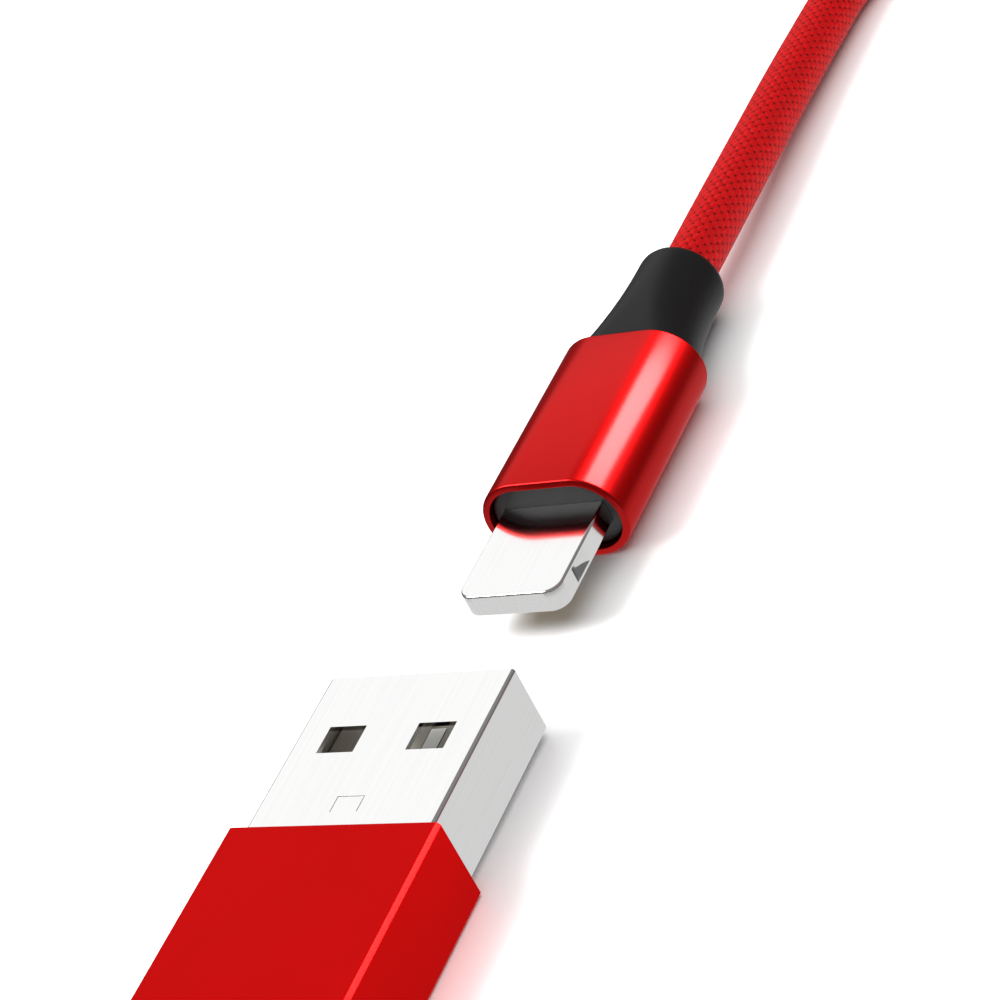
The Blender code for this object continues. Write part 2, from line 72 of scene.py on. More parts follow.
MM = 0.001
CABLE_D = 3.5 * MM
LAY_ANGLE = math.radians(45)
ALONG = Vector((math.cos(LAY_ANGLE), math.sin(LAY_ANGLE), 0))
ASIDE = Vector((math.sin(LAY_ANGLE), -math.cos(LAY_ANGLE), 0))
REST_Z = CABLE_D / 2

coil_low, coil_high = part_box("cable_coil")
COIL_CENTRE = Vector(((coil_low.x + coil_high.x) / 2, (coil_low.y + coil_high.y) / 2, 0))
COIL_TURNS = 5.25
TURN_PITCH = 3.65 * MM
COIL_OUTER_R = (coil_high.x - coil_low.x) / 2 - CABLE_D / 2
COIL_INNER_R = COIL_OUTER_R - COIL_TURNS / 2 * TURN_PITCH
TIE_AT = math.radians(-45)
TIE_W = 6 * MM
TIE_T = 0.75 * MM
TIE_RISE = 0.85 * MM  # how far the turns lie above the table where the strap passes under them
TIE_RAMP = 8 * MM


def along_plugs(forward, aside, height):
    """A point given along and beside the line that the plugs lie on."""
    return ALONG * forward + ASIDE * aside + Vector((0, 0, height))


def coil_point(turn):
    """Where the cable's middle is after that many turns, clockwise from the coil's +X side."""
    middle = COIL_TURNS / 2
    radius = COIL_INNER_R + abs(turn - middle) * TURN_PITCH
    climb = min(max((turn - middle) * 2 + 0.5, 0), 1)
    height = REST_Z + TURN_PITCH * climb * climb * (3 - 2 * climb)
    angle = -2 * math.pi * turn
    from_tie = abs((angle - TIE_AT + math.pi) % (2 * math.pi) - math.pi) * radius
    rise = 1 - min(max((from_tie - TIE_W / 2) / TIE_RAMP, 0), 1)
    height += TIE_RISE * rise * rise * (3 - 2 * rise)
    return COIL_CENTRE + Vector((radius * math.cos(angle), radius * math.sin(angle), height))


def smooth_curve(points, spacing):
    """Points at about that spacing on the natural cubic spline through the given ones."""
    knots = np.array([tuple(point) for point in points])
    count = len(knots)
    at = np.concatenate([[0], np.cumsum(np.linalg.norm(np.diff(knots, axis=0), axis=1))])
    step = np.diff(at)
    matrix, right = np.eye(count), np.zeros_like(knots)
    for i in range(1, count - 1):
        matrix[i, i - 1 : i + 2] = step[i - 1], 2 * (step[i - 1] + step[i]), step[i]
        slopes = (knots[i + 1] - knots[i]) / step[i] - (knots[i] - knots[i - 1]) / step[i - 1]
        right[i] = 6 * slopes
    bends = np.linalg.solve(matrix, right)
    wanted = np.linspace(0, at[-1], round(at[-1] / spacing) + 1)
    i = np.clip(np.searchsorted(at, wanted, side="right") - 1, 0, count - 2)
    before = ((at[i + 1] - wanted) / step[i])[:, None]
    after = ((wanted - at[i]) / step[i])[:, None]
    line = before * knots[i] + after * knots[i + 1]
    line += (before**3 - before) * bends[i] * (step[i] ** 2)[:, None] / 6
    line += (after**3 - after) * bends[i + 1] * (step[i] ** 2)[:, None] / 6
    return [Vector(point) for point in line]


from_phone_plug = [
    along_plugs(0.0460, 0.0015, 0.00285),
    along_plugs(0.0520, 0.0015, 0.00285),
    along_plugs(0.0600, 0.0015, 0.00285),
    along_plugs(0.0660, 0.0014, 0.00275),
    along_plugs(0.0730, 0.0012, 0.0025),
    along_plugs(0.0810, 0.00095, 0.0022),
    along_plugs(0.0900, 0.0009, 0.0019),
    Vector((0.0690, 0.0669, REST_Z)),
    Vector((0.0760, 0.0683, REST_Z)),
    Vector((0.0826, 0.0661, REST_Z)),
    Vector((0.0872, 0.0613, REST_Z)),
    Vector((0.0889, 0.0540, REST_Z)),
    Vector((0.0892, 0.0350, REST_Z)),
    Vector((0.0894, 0.0150, REST_Z)),
    Vector((0.0897, -0.0080, REST_Z)),
]
into_charger_plug = [
    Vector((0.0510, -0.0501, 0.0040)),
    Vector((0.0390, -0.0493, 0.0021)),
    Vector((0.0270, -0.0475, REST_Z)),
    Vector((0.0130, -0.0434, REST_Z)),
    Vector((0.0010, -0.0382, REST_Z)),
    along_plugs(-0.0305, 0.0140, REST_Z),
    along_plugs(-0.0308, 0.0090, 0.0018),
    along_plugs(-0.0290, 0.0046, 0.0020),
    along_plugs(-0.0255, 0.0014, 0.00235),
    along_plugs(-0.0212, 0.0001, 0.00265),
    along_plugs(-0.0170, 0, 0.0027),
    along_plugs(-0.0100, 0, 0.0027),
    along_plugs(-0.0030, 0, 0.0027),
]
points_per_turn = 32
coil_points = round(COIL_TURNS * points_per_turn)
coiled = [coil_point(COIL_TURNS * i / coil_points) for i in range(coil_points + 1)]
cable_line = smooth_curve(from_phone_plug + coiled + into_charger_plug, 1 * MM)
cable_length = sum((b - a).length for a, b in zip(cable_line, cable_line[1:]))


def linear(hex_colour):
    """A sRGB hex colour as the linear RGBA that a shader takes."""
    channels = [int(hex_colour[i : i + 2], 16) / 255 for i in (1, 3, 5)]
    light = [c / 12.92 if c <= 0.04045 else ((c + 0.055) / 1.055) ** 2.4 for c in channels]
    return (*light, 1)


def add_node(tree, kind, settings=None, links=None):
    """Adds a node, sets its properties and inputs, and links its inputs to other nodes' outputs."""
    made = tree.nodes.new(kind)
    for name, value in (settings or {}).items():
        if isinstance(name, int) or name in made.inputs:
            made.inputs[name].default_value = value
        else:
            setattr(made, name, value)
    for name, source in (links or {}).items():
        tree.links.new(source, made.inputs[name])
    return made


def new_finish(name, settings):
    """A material with a Principled BSDF that is set as given. Returns it, its tree and its shader."""
    made = bpy.data.materials.new(name)
    made.use_nodes = True
    shader = made.node_tree.nodes["Principled BSDF"]
    for socket, value in settings.items():
        shader.inputs[socket].default_value = value
    return made, made.node_tree, shader


def tube_mesh(name, line, diameter, sides):
    """A round tube with closed ends along a line. Its UV map runs from 0 to 1 along it, and round it."""
    curve = bpy.data.curves.new(name, "CURVE")
    curve.dimensions = "3D"
    curve.bevel_depth = diameter / 2
    curve.bevel_resolution = sides // 2 - 2
    curve.use_fill_caps = True
    spline = curve.splines.new("POLY")
    spline.points.add(len(line) - 1)
    for target, point in zip(spline.points, line):
        target.co = (*point, 1)
    guide = bpy.data.objects.new(name, curve)
    bpy.context.collection.objects.link(guide)
    bpy.context.view_layer.update()
    graph = bpy.context.evaluated_depsgraph_get()
    mesh = bpy.data.meshes.new_from_object(guide.evaluated_get(graph))
    bpy.data.objects.remove(guide)
    mesh.shade_smooth()
    mesh.set_sharp_from_angle(angle=math.radians(60))
    return mesh


def add_piece(name, mesh, finish):
    """Links a finished mesh as an object with one material."""
    made = bpy.data.objects.new(name, mesh)
    mesh.materials.clear()
    mesh.materials.append(finish)
    bpy.context.collection.objects.link(made)
    return made


# Polyester yarn: bundles of fine filaments, so the gloss is soft, with a little sheen at the edges.
# Each plait stands proud where it passes over, and the holes between plaits are painted a dark red as
# shade.
PLAITS_ROUND = 16
PLAIT_ROW = 0.85 * MM  # along the cable, from one crossing to the next
PLAIT_THICK = 0.07 * MM
soft_gloss = {"Roughness": 0.55, "IOR": 1.55, "Specular IOR Level": 0.08}
edge_sheen = {"Sheen Weight": 0.03, "Sheen Roughness": 0.4, "Sheen Tint": linear("#ff5040")}
yarn, tree, shader = new_finish("plaited_polyester_yarn", soft_gloss | edge_sheen)
uv = add_node(tree, "ShaderNodeUVMap", {"uv_map": "UVMap"}).outputs[0]
rows = cable_length / PLAIT_ROW
ways = []
for way in (1, -1):
    slant = {"operation": "DOT_PRODUCT", 1: (rows, way * PLAITS_ROUND, 0)}
    ways.append(add_node(tree, "ShaderNodeVectorMath", slant, {0: uv}).outputs["Value"])
both = add_node(tree, "ShaderNodeCombineXYZ", {}, {0: ways[0], 1: ways[1]}).outputs[0]
cell = add_node(tree, "ShaderNodeVectorMath", {"operation": "FLOOR"}, {0: both}).outputs[0]
within = add_node(tree, "ShaderNodeVectorMath", {"operation": "FRACTION"}, {0: both}).outputs[0]
count = {"operation": "DOT_PRODUCT", 1: (1, 1, 0)}
crossing = add_node(tree, "ShaderNodeVectorMath", count, {0: cell}).outputs["Value"]
parity = {"operation": "FLOORED_MODULO", 1: 2}
over = add_node(tree, "ShaderNodeMath", parity, {0: crossing}).outputs[0]
sides = add_node(tree, "ShaderNodeSeparateXYZ", {}, {0: within}).outputs
across = add_node(tree, "ShaderNodeMix", {}, {0: over, 2: sides[0], 3: sides[1]}).outputs[0]
lengthways = add_node(tree, "ShaderNodeMix", {}, {0: over, 2: sides[1], 3: sides[0]}).outputs[0]
crowns = []
for position in (across, lengthways):
    half_wave = {"operation": "MULTIPLY", 1: math.pi}
    angle = add_node(tree, "ShaderNodeMath", half_wave, {0: position}).outputs[0]
    crowns.append(add_node(tree, "ShaderNodeMath", {"operation": "SINE"}, {0: angle}).outputs[0])
dip = {"From Min": 0.0, "From Max": 1.0, "To Min": 0.55, "To Max": 1.0}
long_crown = add_node(tree, "ShaderNodeMapRange", dip, {0: crowns[1]}).outputs[0]
product = {"operation": "MULTIPLY"}
plait = add_node(tree, "ShaderNodeMath", product, {0: crowns[0], 1: long_crown}).outputs[0]
FILAMENTS = 5  # across one plait, drawn coarser than the real ones so that they show
turns = {"operation": "MULTIPLY", 1: 2 * math.pi * FILAMENTS}
wave = add_node(tree, "ShaderNodeMath", turns, {0: across}).outputs[0]
strands = add_node(tree, "ShaderNodeMath", {"operation": "COSINE"}, {0: wave}).outputs[0]
fine = {"operation": "MULTIPLY_ADD", 1: 0.05}
relief = add_node(tree, "ShaderNodeMath", fine, {0: strands, 2: plait}).outputs[0]
uneven = add_node(tree, "ShaderNodeTexWhiteNoise", {"noise_dimensions": "3D"}, {0: cell}).outputs[0]
# Painted shade: the colour runs from the plait's own red on its crown down to a dark red in the holes
# between plaits, where shade falls.
hole_shade = add_node(tree, "ShaderNodeMath", {"operation": "ADD"}, {0: crowns[0], 1: crowns[1]}).outputs[0]
ramp = add_node(tree, "ShaderNodeValToRGB", {}, {0: hole_shade})
stops = ramp.color_ramp.elements
stops[0].position, stops[0].color = 0.5, linear("#600204")
stops[1].position, stops[1].color = 0.85, linear("#c4090d")
dyed = {"data_type": "RGBA", "blend_type": "MULTIPLY", 7: linear("#c08080")}
tint = add_node(tree, "ShaderNodeMath", {"operation": "MULTIPLY", 1: 0.25}, {0: uneven}).outputs[0]
colour = add_node(tree, "ShaderNodeMix", dyed, {0: tint, 6: ramp.outputs[0]}).outputs[2]
tree.links.new(colour, shader.inputs["Base Color"])
bump = add_node(tree, "ShaderNodeBump", {"Distance": PLAIT_THICK, "Strength": 0.9}, {"Height": relief})
tree.links.new(bump.outputs[0], shader.inputs["Normal"])

cable = add_piece("braided_cable", tube_mesh("braided_cable", cable_line, CABLE_D, 24), yarn)
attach(cable, "root")
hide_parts("cable_to_phone", "cable_coil", "cable_to_charger")


# ---- Coil strap
# A 6 mm strip of woven hook-and-loop tape. It goes once round the turns and shuts on itself on top,
# with the end of the tape lying over the first layer.


def outline(width, height, radius, y, corner_steps=8):
    """A rounded rectangle across a plug's axis at y, as a ring of points. With a radius of half its
    height it has round sides, and with equal sides as well it is a circle."""
    radius = min(radius, 0.4999 * width, 0.4999 * height)
    points = []
    for quarter, (side_x, side_z) in enumerate(((1, 1), (-1, 1), (-1, -1), (1, -1))):
        centre = Vector((side_x * (width / 2 - radius), y, side_z * (height / 2 - radius)))
        for step in range(corner_steps + 1):
            angle = math.pi / 2 * (quarter + step / corner_steps)
            points.append(centre + Vector((math.cos(angle), 0, math.sin(angle))) * radius)
    return points


def skin(rings):
    """A closed skin drawn through rings of points one after the other, and back to the first."""
    bm = bmesh.new()
    ring = bmesh.ops.create_circle(bm, segments=len(rings[0]), radius=1)["verts"]
    for vert, point in zip(ring, rings[0]):
        vert.co = point
    for points in rings[1:] + rings[:1]:
        edges = [bm.edges.get((ring[i - 1], vert)) for i, vert in enumerate(ring)]
        drawn = bmesh.ops.extrude_edge_only(bm, edges=edges)["geom"]
        fresh = [vert for vert in drawn if isinstance(vert, bmesh.types.BMVert)]
        at = {vert.co.to_tuple(8): vert for vert in fresh}
        ring = [at[vert.co.to_tuple(8)] for vert in ring]
        for vert, point in zip(ring, points):
            vert.co = point
    bmesh.ops.remove_doubles(bm, verts=bm.verts, dist=0.0001 * MM)
    bmesh.ops.recalc_face_normals(bm, faces=bm.faces)
    return bm


def settle(bm, place, name, sharp=35):
    """The finished mesh of a piece, put in its place, and shaded smooth except across edges sharper than
    the angle given.
    """
    bmesh.ops.transform(bm, matrix=place, verts=bm.verts)
    mesh = bpy.data.meshes.new(name)
    bm.to_mesh(mesh)
    bm.free()
    mesh.shade_smooth()
    mesh.set_sharp_from_angle(angle=math.radians(sharp))
    return mesh


# Woven polyester tape, black: matt, with a visible rib across and a short nap of loops on top.
black = {"Base Color": linear("#0c0c0e"), "Roughness": 0.85, "IOR": 1.5}
nap_sheen = {"Sheen Weight": 0.06, "Sheen Roughness": 0.5}
tape, tree, shader = new_finish("woven_loop_tape", black | nap_sheen)
RIB = 0.4 * MM
NAP = 0.12 * MM
place = add_node(tree, "ShaderNodeTexCoord").outputs["Object"]
turned = {"vector_type": "TEXTURE", "Rotation": (0, 0, TIE_AT)}
turned = add_node(tree, "ShaderNodeMapping", turned, {0: place}).outputs[0]
ribs = {"wave_profile": "SIN", "bands_direction": "X", "Scale": 0.314 / RIB, "Distortion": 0.6}
ribs = add_node(tree, "ShaderNodeTexWave", ribs, {"Vector": turned}).outputs["Fac"]
nap = {"Scale": 1 / NAP, "Detail": 3, "Roughness": 0.7}
nap = add_node(tree, "ShaderNodeTexNoise", nap, {"Vector": place}).outputs["Fac"]
pile = add_node(tree, "ShaderNodeMath", {"operation": "ADD"}, {0: ribs, 1: nap}).outputs[0]
bump = {"Distance": 0.12 * MM, "Strength": 1.0}
bump = add_node(tree, "ShaderNodeBump", bump, {"Height": pile}).outputs[0]
tree.links.new(bump, shader.inputs["Normal"])
lint = {"To Min": 0.75, "To Max": 0.98}
lint = add_node(tree, "ShaderNodeMapRange", lint, {0: nap}).outputs[0]
tree.links.new(lint, shader.inputs["Roughness"])

TIE_EDGE = 0.12 * MM  # how much the tape's edges are worn round
LOOP_CORNER = 1.4 * MM
LOOP_INNER_CORNER = 0.8 * MM
FLAP_LONG = 7.5 * MM
FLAP_CORNER = 1.5 * MM
FLAP_SHIFT = 0.9 * MM
coil_inner_side = COIL_INNER_R - CABLE_D / 2
loop_near = math.sqrt(coil_inner_side**2 - (TIE_W / 2) ** 2) - 0.15 * MM
loop_far = COIL_OUTER_R + CABLE_D / 2 + 0.15 * MM
loop_top = TIE_RISE + CABLE_D + TURN_PITCH + 0.1 * MM
hole = (loop_far - loop_near, loop_top - TIE_T)
band = (hole[0] + 2 * TIE_T, hole[1] + 2 * TIE_T)
half_w = TIE_W / 2
worn = (band[0] - 2 * TIE_EDGE, band[1] - 2 * TIE_EDGE, LOOP_CORNER - 0.1 * MM)
rings = [outline(*worn, -half_w)]
rings += [outline(*band, LOOP_CORNER, side * (half_w - TIE_EDGE)) for side in (-1, 1)]
rings.append(outline(*worn, half_w))
rings += [outline(*hole, LOOP_INNER_CORNER, side * half_w) for side in (1, -1)]
middle = Vector(((loop_near + loop_far) / 2, 0, band[1] / 2))
tie_place = Matrix.Translation(COIL_CENTRE) @ Matrix.Rotation(TIE_AT, 4, "Z") @ Matrix.Translation(middle)
tie = add_piece("coil_strap", settle(skin(rings), tie_place, "coil_strap", 50), tape)
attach(tie, "root")
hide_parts("coil_tie")

# The free end of the tape, on top of the loop, with its corners cut round
bm = bmesh.new()
bmesh.ops.create_cube(bm, size=1)
size = Matrix.Diagonal((FLAP_LONG, TIE_W - 0.2 * MM, TIE_T * 0.8, 1))
bmesh.ops.transform(bm, matrix=size, verts=bm.verts)
upright = [e for e in bm.edges if abs(e.verts[0].co.z - e.verts[1].co.z) > TIE_T / 2]
corners = [e for e in upright if e.verts[0].co.x < 0]
rounding = {"affect": "EDGES", "profile": 0.5, "material": -1}
bmesh.ops.bevel(bm, geom=corners, offset=FLAP_CORNER, segments=6, **rounding)
bmesh.ops.bevel(bm, geom=bm.edges[:], offset=TIE_EDGE, segments=2, **rounding)
shift = Vector((FLAP_SHIFT, 0, band[1] / 2 + TIE_T * 0.4 + 0.02 * MM))
flap_mesh = settle(bm, tie_place @ Matrix.Translation(shift), "strap_flap", 50)
flap = add_piece("strap_flap", flap_mesh, tape)
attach(flap, "root")


# ---- Charger plug housing
# A short length of drawn aluminium tube, bead blasted, anodised red, and then milled along its edges
# so that a narrow polished bevel is left. The shell is pressed into it from the front.

HOUSING = (13.5 * MM, 20 * MM, 5.4 * MM)
HOUSING_WALL = (0.6 * MM, 0.35 * MM)  # at the sides, and above and below
HOUSING_BEVEL = 0.22 * MM
HOUSING_RIM = 0.12 * MM
BLAST = 0.09 * MM  # the beads' marks, coarser than the real ones so that they show
DYE_PATCH = 5 * MM
housing_low, housing_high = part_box("charger_housing")
charger_seat = (housing_low + housing_high) / 2 + ALONG * (HOUSING[1] / 2)
charger_place = Matrix.Translation(charger_seat) @ Matrix.Rotation(LAY_ANGLE - math.pi / 2, 4, "Z")


def anodised(name, thin_dye, full_dye, sealing, roughness):
    """Bead-blasted aluminium under a dyed and sealed oxide. Reflections have a red part from the metal
    below the dye, and a sharper white part from the sealed surface."""
    metal = {"Metallic": 1.0, "Specular Tint": linear("#f02020")}
    oxide = {"Coat Weight": sealing, "Coat Roughness": 0.22, "Coat IOR": 1.6}
    finish, tree, shader = new_finish(name, metal | oxide)
    place = add_node(tree, "ShaderNodeTexCoord").outputs["Object"]
    grain = {"Scale": 1 / BLAST, "Detail": 2, "Roughness": 0.6}
    grain = add_node(tree, "ShaderNodeTexNoise", grain, {"Vector": place}).outputs["Fac"]
    patches = {"Scale": 1 / DYE_PATCH, "Detail": 2}
    patches = add_node(tree, "ShaderNodeTexNoise", patches, {"Vector": place}).outputs["Fac"]
    dye = {"data_type": "RGBA", 6: linear(thin_dye), 7: linear(full_dye)}
    dye = add_node(tree, "ShaderNodeMix", dye, {0: patches}).outputs[2]
    tree.links.new(dye, shader.inputs["Base Color"])
    gloss = {"To Min": roughness - 0.05, "To Max": roughness + 0.05}
    gloss = add_node(tree, "ShaderNodeMapRange", gloss, {0: grain}).outputs[0]
    tree.links.new(gloss, shader.inputs["Roughness"])
    bump = {"Distance": 0.002 * MM, "Strength": 0.5}
    bump = add_node(tree, "ShaderNodeBump", bump, {"Height": grain}).outputs[0]
    tree.links.new(bump, shader.inputs["Normal"])
    return finish


deep_red = anodised("deep_red_anodised_aluminium", "#ac0101", "#b60403", 0.05, 0.48)


def keep_flat(piece):
    """Leaves a piece's flat faces flat in reflections, and only its small roundings shaded round."""
    weighted = piece.modifiers.new("keep_flat", "WEIGHTED_NORMAL")
    weighted.keep_sharp = True
    weighted.weight = 100


opening = (HOUSING[0] - 2 * HOUSING_WALL[0], HOUSING[2] - 2 * HOUSING_WALL[1])
rim = 2 * HOUSING_RIM
section = (HOUSING[0], HOUSING[2], HOUSING_BEVEL)
narrow = (HOUSING[0] - rim, HOUSING[2] - rim, HOUSING_BEVEL - HOUSING_RIM / 2)
rings = [
    outline(*narrow, 0, 1),
    outline(*section, -HOUSING_RIM, 1),
    outline(*section, HOUSING_RIM - HOUSING[1], 1),
    outline(*narrow, -HOUSING[1], 1),
    outline(*opening, HOUSING_BEVEL, -HOUSING[1], 1),
    outline(*opening, HOUSING_BEVEL, 0, 1),
]
bm = skin(rings)
milled = {"affect": "EDGES", "profile": 0.5, "material": -1}
edges = [e for e in bm.edges if math.radians(25) < e.calc_face_angle(0) < math.radians(80)]
bmesh.ops.bevel(bm, geom=edges, offset=0.03 * MM, segments=2, **milled)
housing_mesh = settle(bm, charger_place, "housing_sleeve", 60)
housing = add_piece("housing_sleeve", housing_mesh, deep_red)
keep_flat(housing)
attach(housing, "root")
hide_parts("charger_housing")


# ---- Charger plug shell
# Sheet steel, 0.3 mm thick, folded into a rectangular tube whose edges meet in a seam underneath,
# then nickel plated. Two windows above and two below catch the socket's springs.

SHELL = (12 * MM, 4.5 * MM)
SHELL_WALL = 0.3 * MM
SHELL_OUT = 11.75 * MM
SHELL_IN = 6 * MM
SHELL_CORNER = 0.22 * MM
HOLE_CORNER = 0.05 * MM
LEAD_IN = 0.15 * MM
WINDOW = (2.4 * MM, 2 * MM)
WINDOW_X = 2.9 * MM
WINDOW_Y = SHELL_OUT - 5 * MM
SLOT_W = 0.05 * MM
TAB = (1.7 * MM, 2.4 * MM)
TAB_LEG = 1.1 * MM
TAB_X = -1 * MM
TAB_DEEP = 0.08 * MM

# Nickel plating on rolled sheet: a bright mirror, clouded a little where the sheet below is less
# smooth, with the rolling's faint lines along the plug.
nickel, tree, shader = new_finish("nickel_plated_steel", {"Metallic": 1.0, "Roughness": 0.12})
ROLL_LINE = 0.2 * MM
CLOUD = 3 * MM
place = add_node(tree, "ShaderNodeTexCoord").outputs["Object"]
rolled = {"vector_type": "TEXTURE", "Rotation": (0, 0, LAY_ANGLE), "Scale": (50, 1, 1)}
rolled = add_node(tree, "ShaderNodeMapping", rolled, {0: place}).outputs[0]
lines = {"Scale": 1 / ROLL_LINE, "Detail": 3, "Roughness": 0.5}
lines = add_node(tree, "ShaderNodeTexNoise", lines, {"Vector": rolled}).outputs["Fac"]
clouds = {"Scale": 1 / CLOUD, "Detail": 3}
clouds = add_node(tree, "ShaderNodeTexNoise", clouds, {"Vector": place}).outputs["Fac"]
gloss = {"To Min": 0.08, "To Max": 0.17}
gloss = add_node(tree, "ShaderNodeMapRange", gloss, {0: clouds}).outputs[0]
tree.links.new(gloss, shader.inputs["Roughness"])
tone = {"data_type": "RGBA", 6: linear("#d0d0d0"), 7: linear("#d9d9d8")}
tone = add_node(tree, "ShaderNodeMix", tone, {0: lines}).outputs[2]
tree.links.new(tone, shader.inputs["Base Color"])
bump = {"Distance": 0.0004 * MM, "Strength": 0.3}
bump = add_node(tree, "ShaderNodeBump", bump, {"Height": lines}).outputs[0]
tree.links.new(bump, shader.inputs["Normal"])


def carve(bm, cutters):
    """Takes the cutters' shapes out of a mesh."""
    for cutter in cutters:
        guides = []
        for name, shape in (("whole", bm), ("cutter", cutter)):
            mesh = bpy.data.meshes.new(name)
            shape.to_mesh(mesh)
            shape.free()
            guides.append(bpy.data.objects.new(name, mesh))
            bpy.context.collection.objects.link(guides[-1])
        boolean = guides[0].modifiers.new("cut", "BOOLEAN")
        boolean.operation = "DIFFERENCE"
        boolean.object = guides[1]
        bpy.context.view_layer.update()
        graph = bpy.context.evaluated_depsgraph_get()
        mesh = bpy.data.meshes.new_from_object(guides[0].evaluated_get(graph))
        bm = bmesh.new()
        bm.from_mesh(mesh)
        for guide in guides:
            bpy.data.objects.remove(guide)
    return bm


shell_hole = (SHELL[0] - 2 * SHELL_WALL, SHELL[1] - 2 * SHELL_WALL)
rings = [outline(SHELL[0] - 2 * LEAD_IN, SHELL[1] - 2 * LEAD_IN, SHELL_CORNER, SHELL_OUT, 6)]
for degrees in (30, 60, 90):
    back = LEAD_IN * (1 - math.cos(math.radians(degrees)))
    inset = 2 * LEAD_IN * (1 - math.sin(math.radians(degrees)))
    rings.append(outline(SHELL[0] - inset, SHELL[1] - inset, SHELL_CORNER, SHELL_OUT - back, 6))
rings.append(outline(*SHELL, SHELL_CORNER, -SHELL_IN, 6))
rings += [outline(*shell_hole, HOLE_CORNER, y, 6) for y in (-SHELL_IN, SHELL_OUT)]
bm = skin(rings)
cuts = []
for side in (-1, 1):
    cuts += [((side * WINDOW_X + end * WINDOW[0] / 2, 0, 0), (1, 0, 0)) for end in (-1, 1)]
    cuts.append(((0, WINDOW_Y + side * WINDOW[1] / 2, 0), (0, 1, 0)))
for point, normal in cuts:
    geom = bm.verts[:] + bm.edges[:] + bm.faces[:]
    bmesh.ops.bisect_plane(bm, geom=geom, plane_co=point, plane_no=normal, dist=0.0001 * MM)
for side in (-1, 1):
    for top in (-1, 1):
        inside = []
        for face in bm.faces:
            spot = face.calc_center_median()
            in_x = abs(spot.x - side * WINDOW_X) < WINDOW[0] / 2
            in_y = abs(spot.y - WINDOW_Y) < WINDOW[1] / 2
            if in_x and in_y and spot.z * top > 0:
                inside.append(face)
        rim_edges = [e for e in bm.edges if sum(face in inside for face in e.link_faces) == 1]
        bmesh.ops.delete(bm, geom=inside, context="FACES")
        bmesh.ops.bridge_loops(bm, edges=rim_edges)
bmesh.ops.recalc_face_normals(bm, faces=bm.faces)

# The seam underneath, where the sheet's edges meet, and the outline of the tab that is stamped from
# the top to hold the block
top = SHELL[1] / 2
slots = [(0, -2 * SHELL_IN, 0, 2 * SHELL_OUT, -2 * top, 0)]
slots += [(x, TAB[1] - TAB_LEG, x, TAB[1], top - TAB_DEEP, 2 * top) for x in (TAB_X, TAB_X + TAB[0])]
slots.append((TAB_X, TAB[1], TAB_X + TAB[0], TAB[1], top - TAB_DEEP, 2 * top))
cutters = []
for x0, y0, x1, y1, z0, z1 in slots:
    cutter = bmesh.new()
    bmesh.ops.create_cube(cutter, size=1)
    size = Matrix.Diagonal((x1 - x0 + SLOT_W, y1 - y0 + SLOT_W, z1 - z0, 1))
    centre = Matrix.Translation(((x0 + x1) / 2, (y0 + y1) / 2, (z0 + z1) / 2))
    bmesh.ops.transform(cutter, matrix=centre @ size, verts=cutter.verts)
    cutters.append(cutter)
bm = carve(bm, cutters)
shell = add_piece("plug_shell", settle(bm, charger_place, "plug_shell", 30), nickel)
keep_flat(shell)
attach(shell, "root")
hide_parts("charger_shell")


# ---- Charger plug contacts
# A moulded block that fills the lower half of the shell, with four contacts stamped from brass strip
# and plated with gold. Each is pressed into a groove of the block.

CONTACT_X = (-3.5 * MM, -1 * MM, 1 * MM, 3.5 * MM)
CONTACT_NAMES = ("power", "data_minus", "data_plus", "ground")
CONTACT = (1 * MM, 0.2 * MM)
CONTACT_GAP = 0.05 * MM
GROOVE = (CONTACT[0] + 2 * CONTACT_GAP, CONTACT[1] + CONTACT_GAP)
BLOCK_BACK = 0.5 * MM  # how far behind the shell's edge the block ends


def moulded(name, body, grain, tones, gloss=None, relief=None):
    """A moulded or pressed material. Its tone follows one grain, and so do its gloss and its height
    where they are given. Relief is the grain's depth, and how strongly it is drawn."""
    finish, tree, shader = new_finish(name, body)
    place = add_node(tree, "ShaderNodeTexCoord").outputs["Object"]
    grain = add_node(tree, "ShaderNodeTexNoise", grain, {"Vector": place}).outputs["Fac"]
    tone = {"data_type": "RGBA", 6: linear(tones[0]), 7: linear(tones[1])}
    tone = add_node(tree, "ShaderNodeMix", tone, {0: grain}).outputs[2]
    tree.links.new(tone, shader.inputs["Base Color"])
    if gloss:
        gloss = {"To Min": gloss[0], "To Max": gloss[1]}
        gloss = add_node(tree, "ShaderNodeMapRange", gloss, {0: grain}).outputs[0]
        tree.links.new(gloss, shader.inputs["Roughness"])
    if relief:
        bump = {"Distance": relief[0], "Strength": relief[1]}
        bump = add_node(tree, "ShaderNodeBump", bump, {"Height": grain}).outputs[0]
        tree.links.new(bump, shader.inputs["Normal"])
    return finish


# Glass-filled polyester, cream: moulded, with a fine spark-eroded texture and a soft gloss.
SPARK = 0.12 * MM
glow_through = {"Subsurface Weight": 0.1, "Subsurface Radius": (0.6 * MM, 0.5 * MM, 0.4 * MM)}
cream = moulded(
    "cream_moulded_polyester",
    {"Roughness": 0.42, "IOR": 1.57, "Subsurface Scale": 1.0} | glow_through,
    {"Scale": 1 / SPARK, "Detail": 3, "Roughness": 0.6},
    ("#e6dfce", "#efe9db"),
    gloss=(0.35, 0.5),
    relief=(0.01 * MM, 0.4),
)


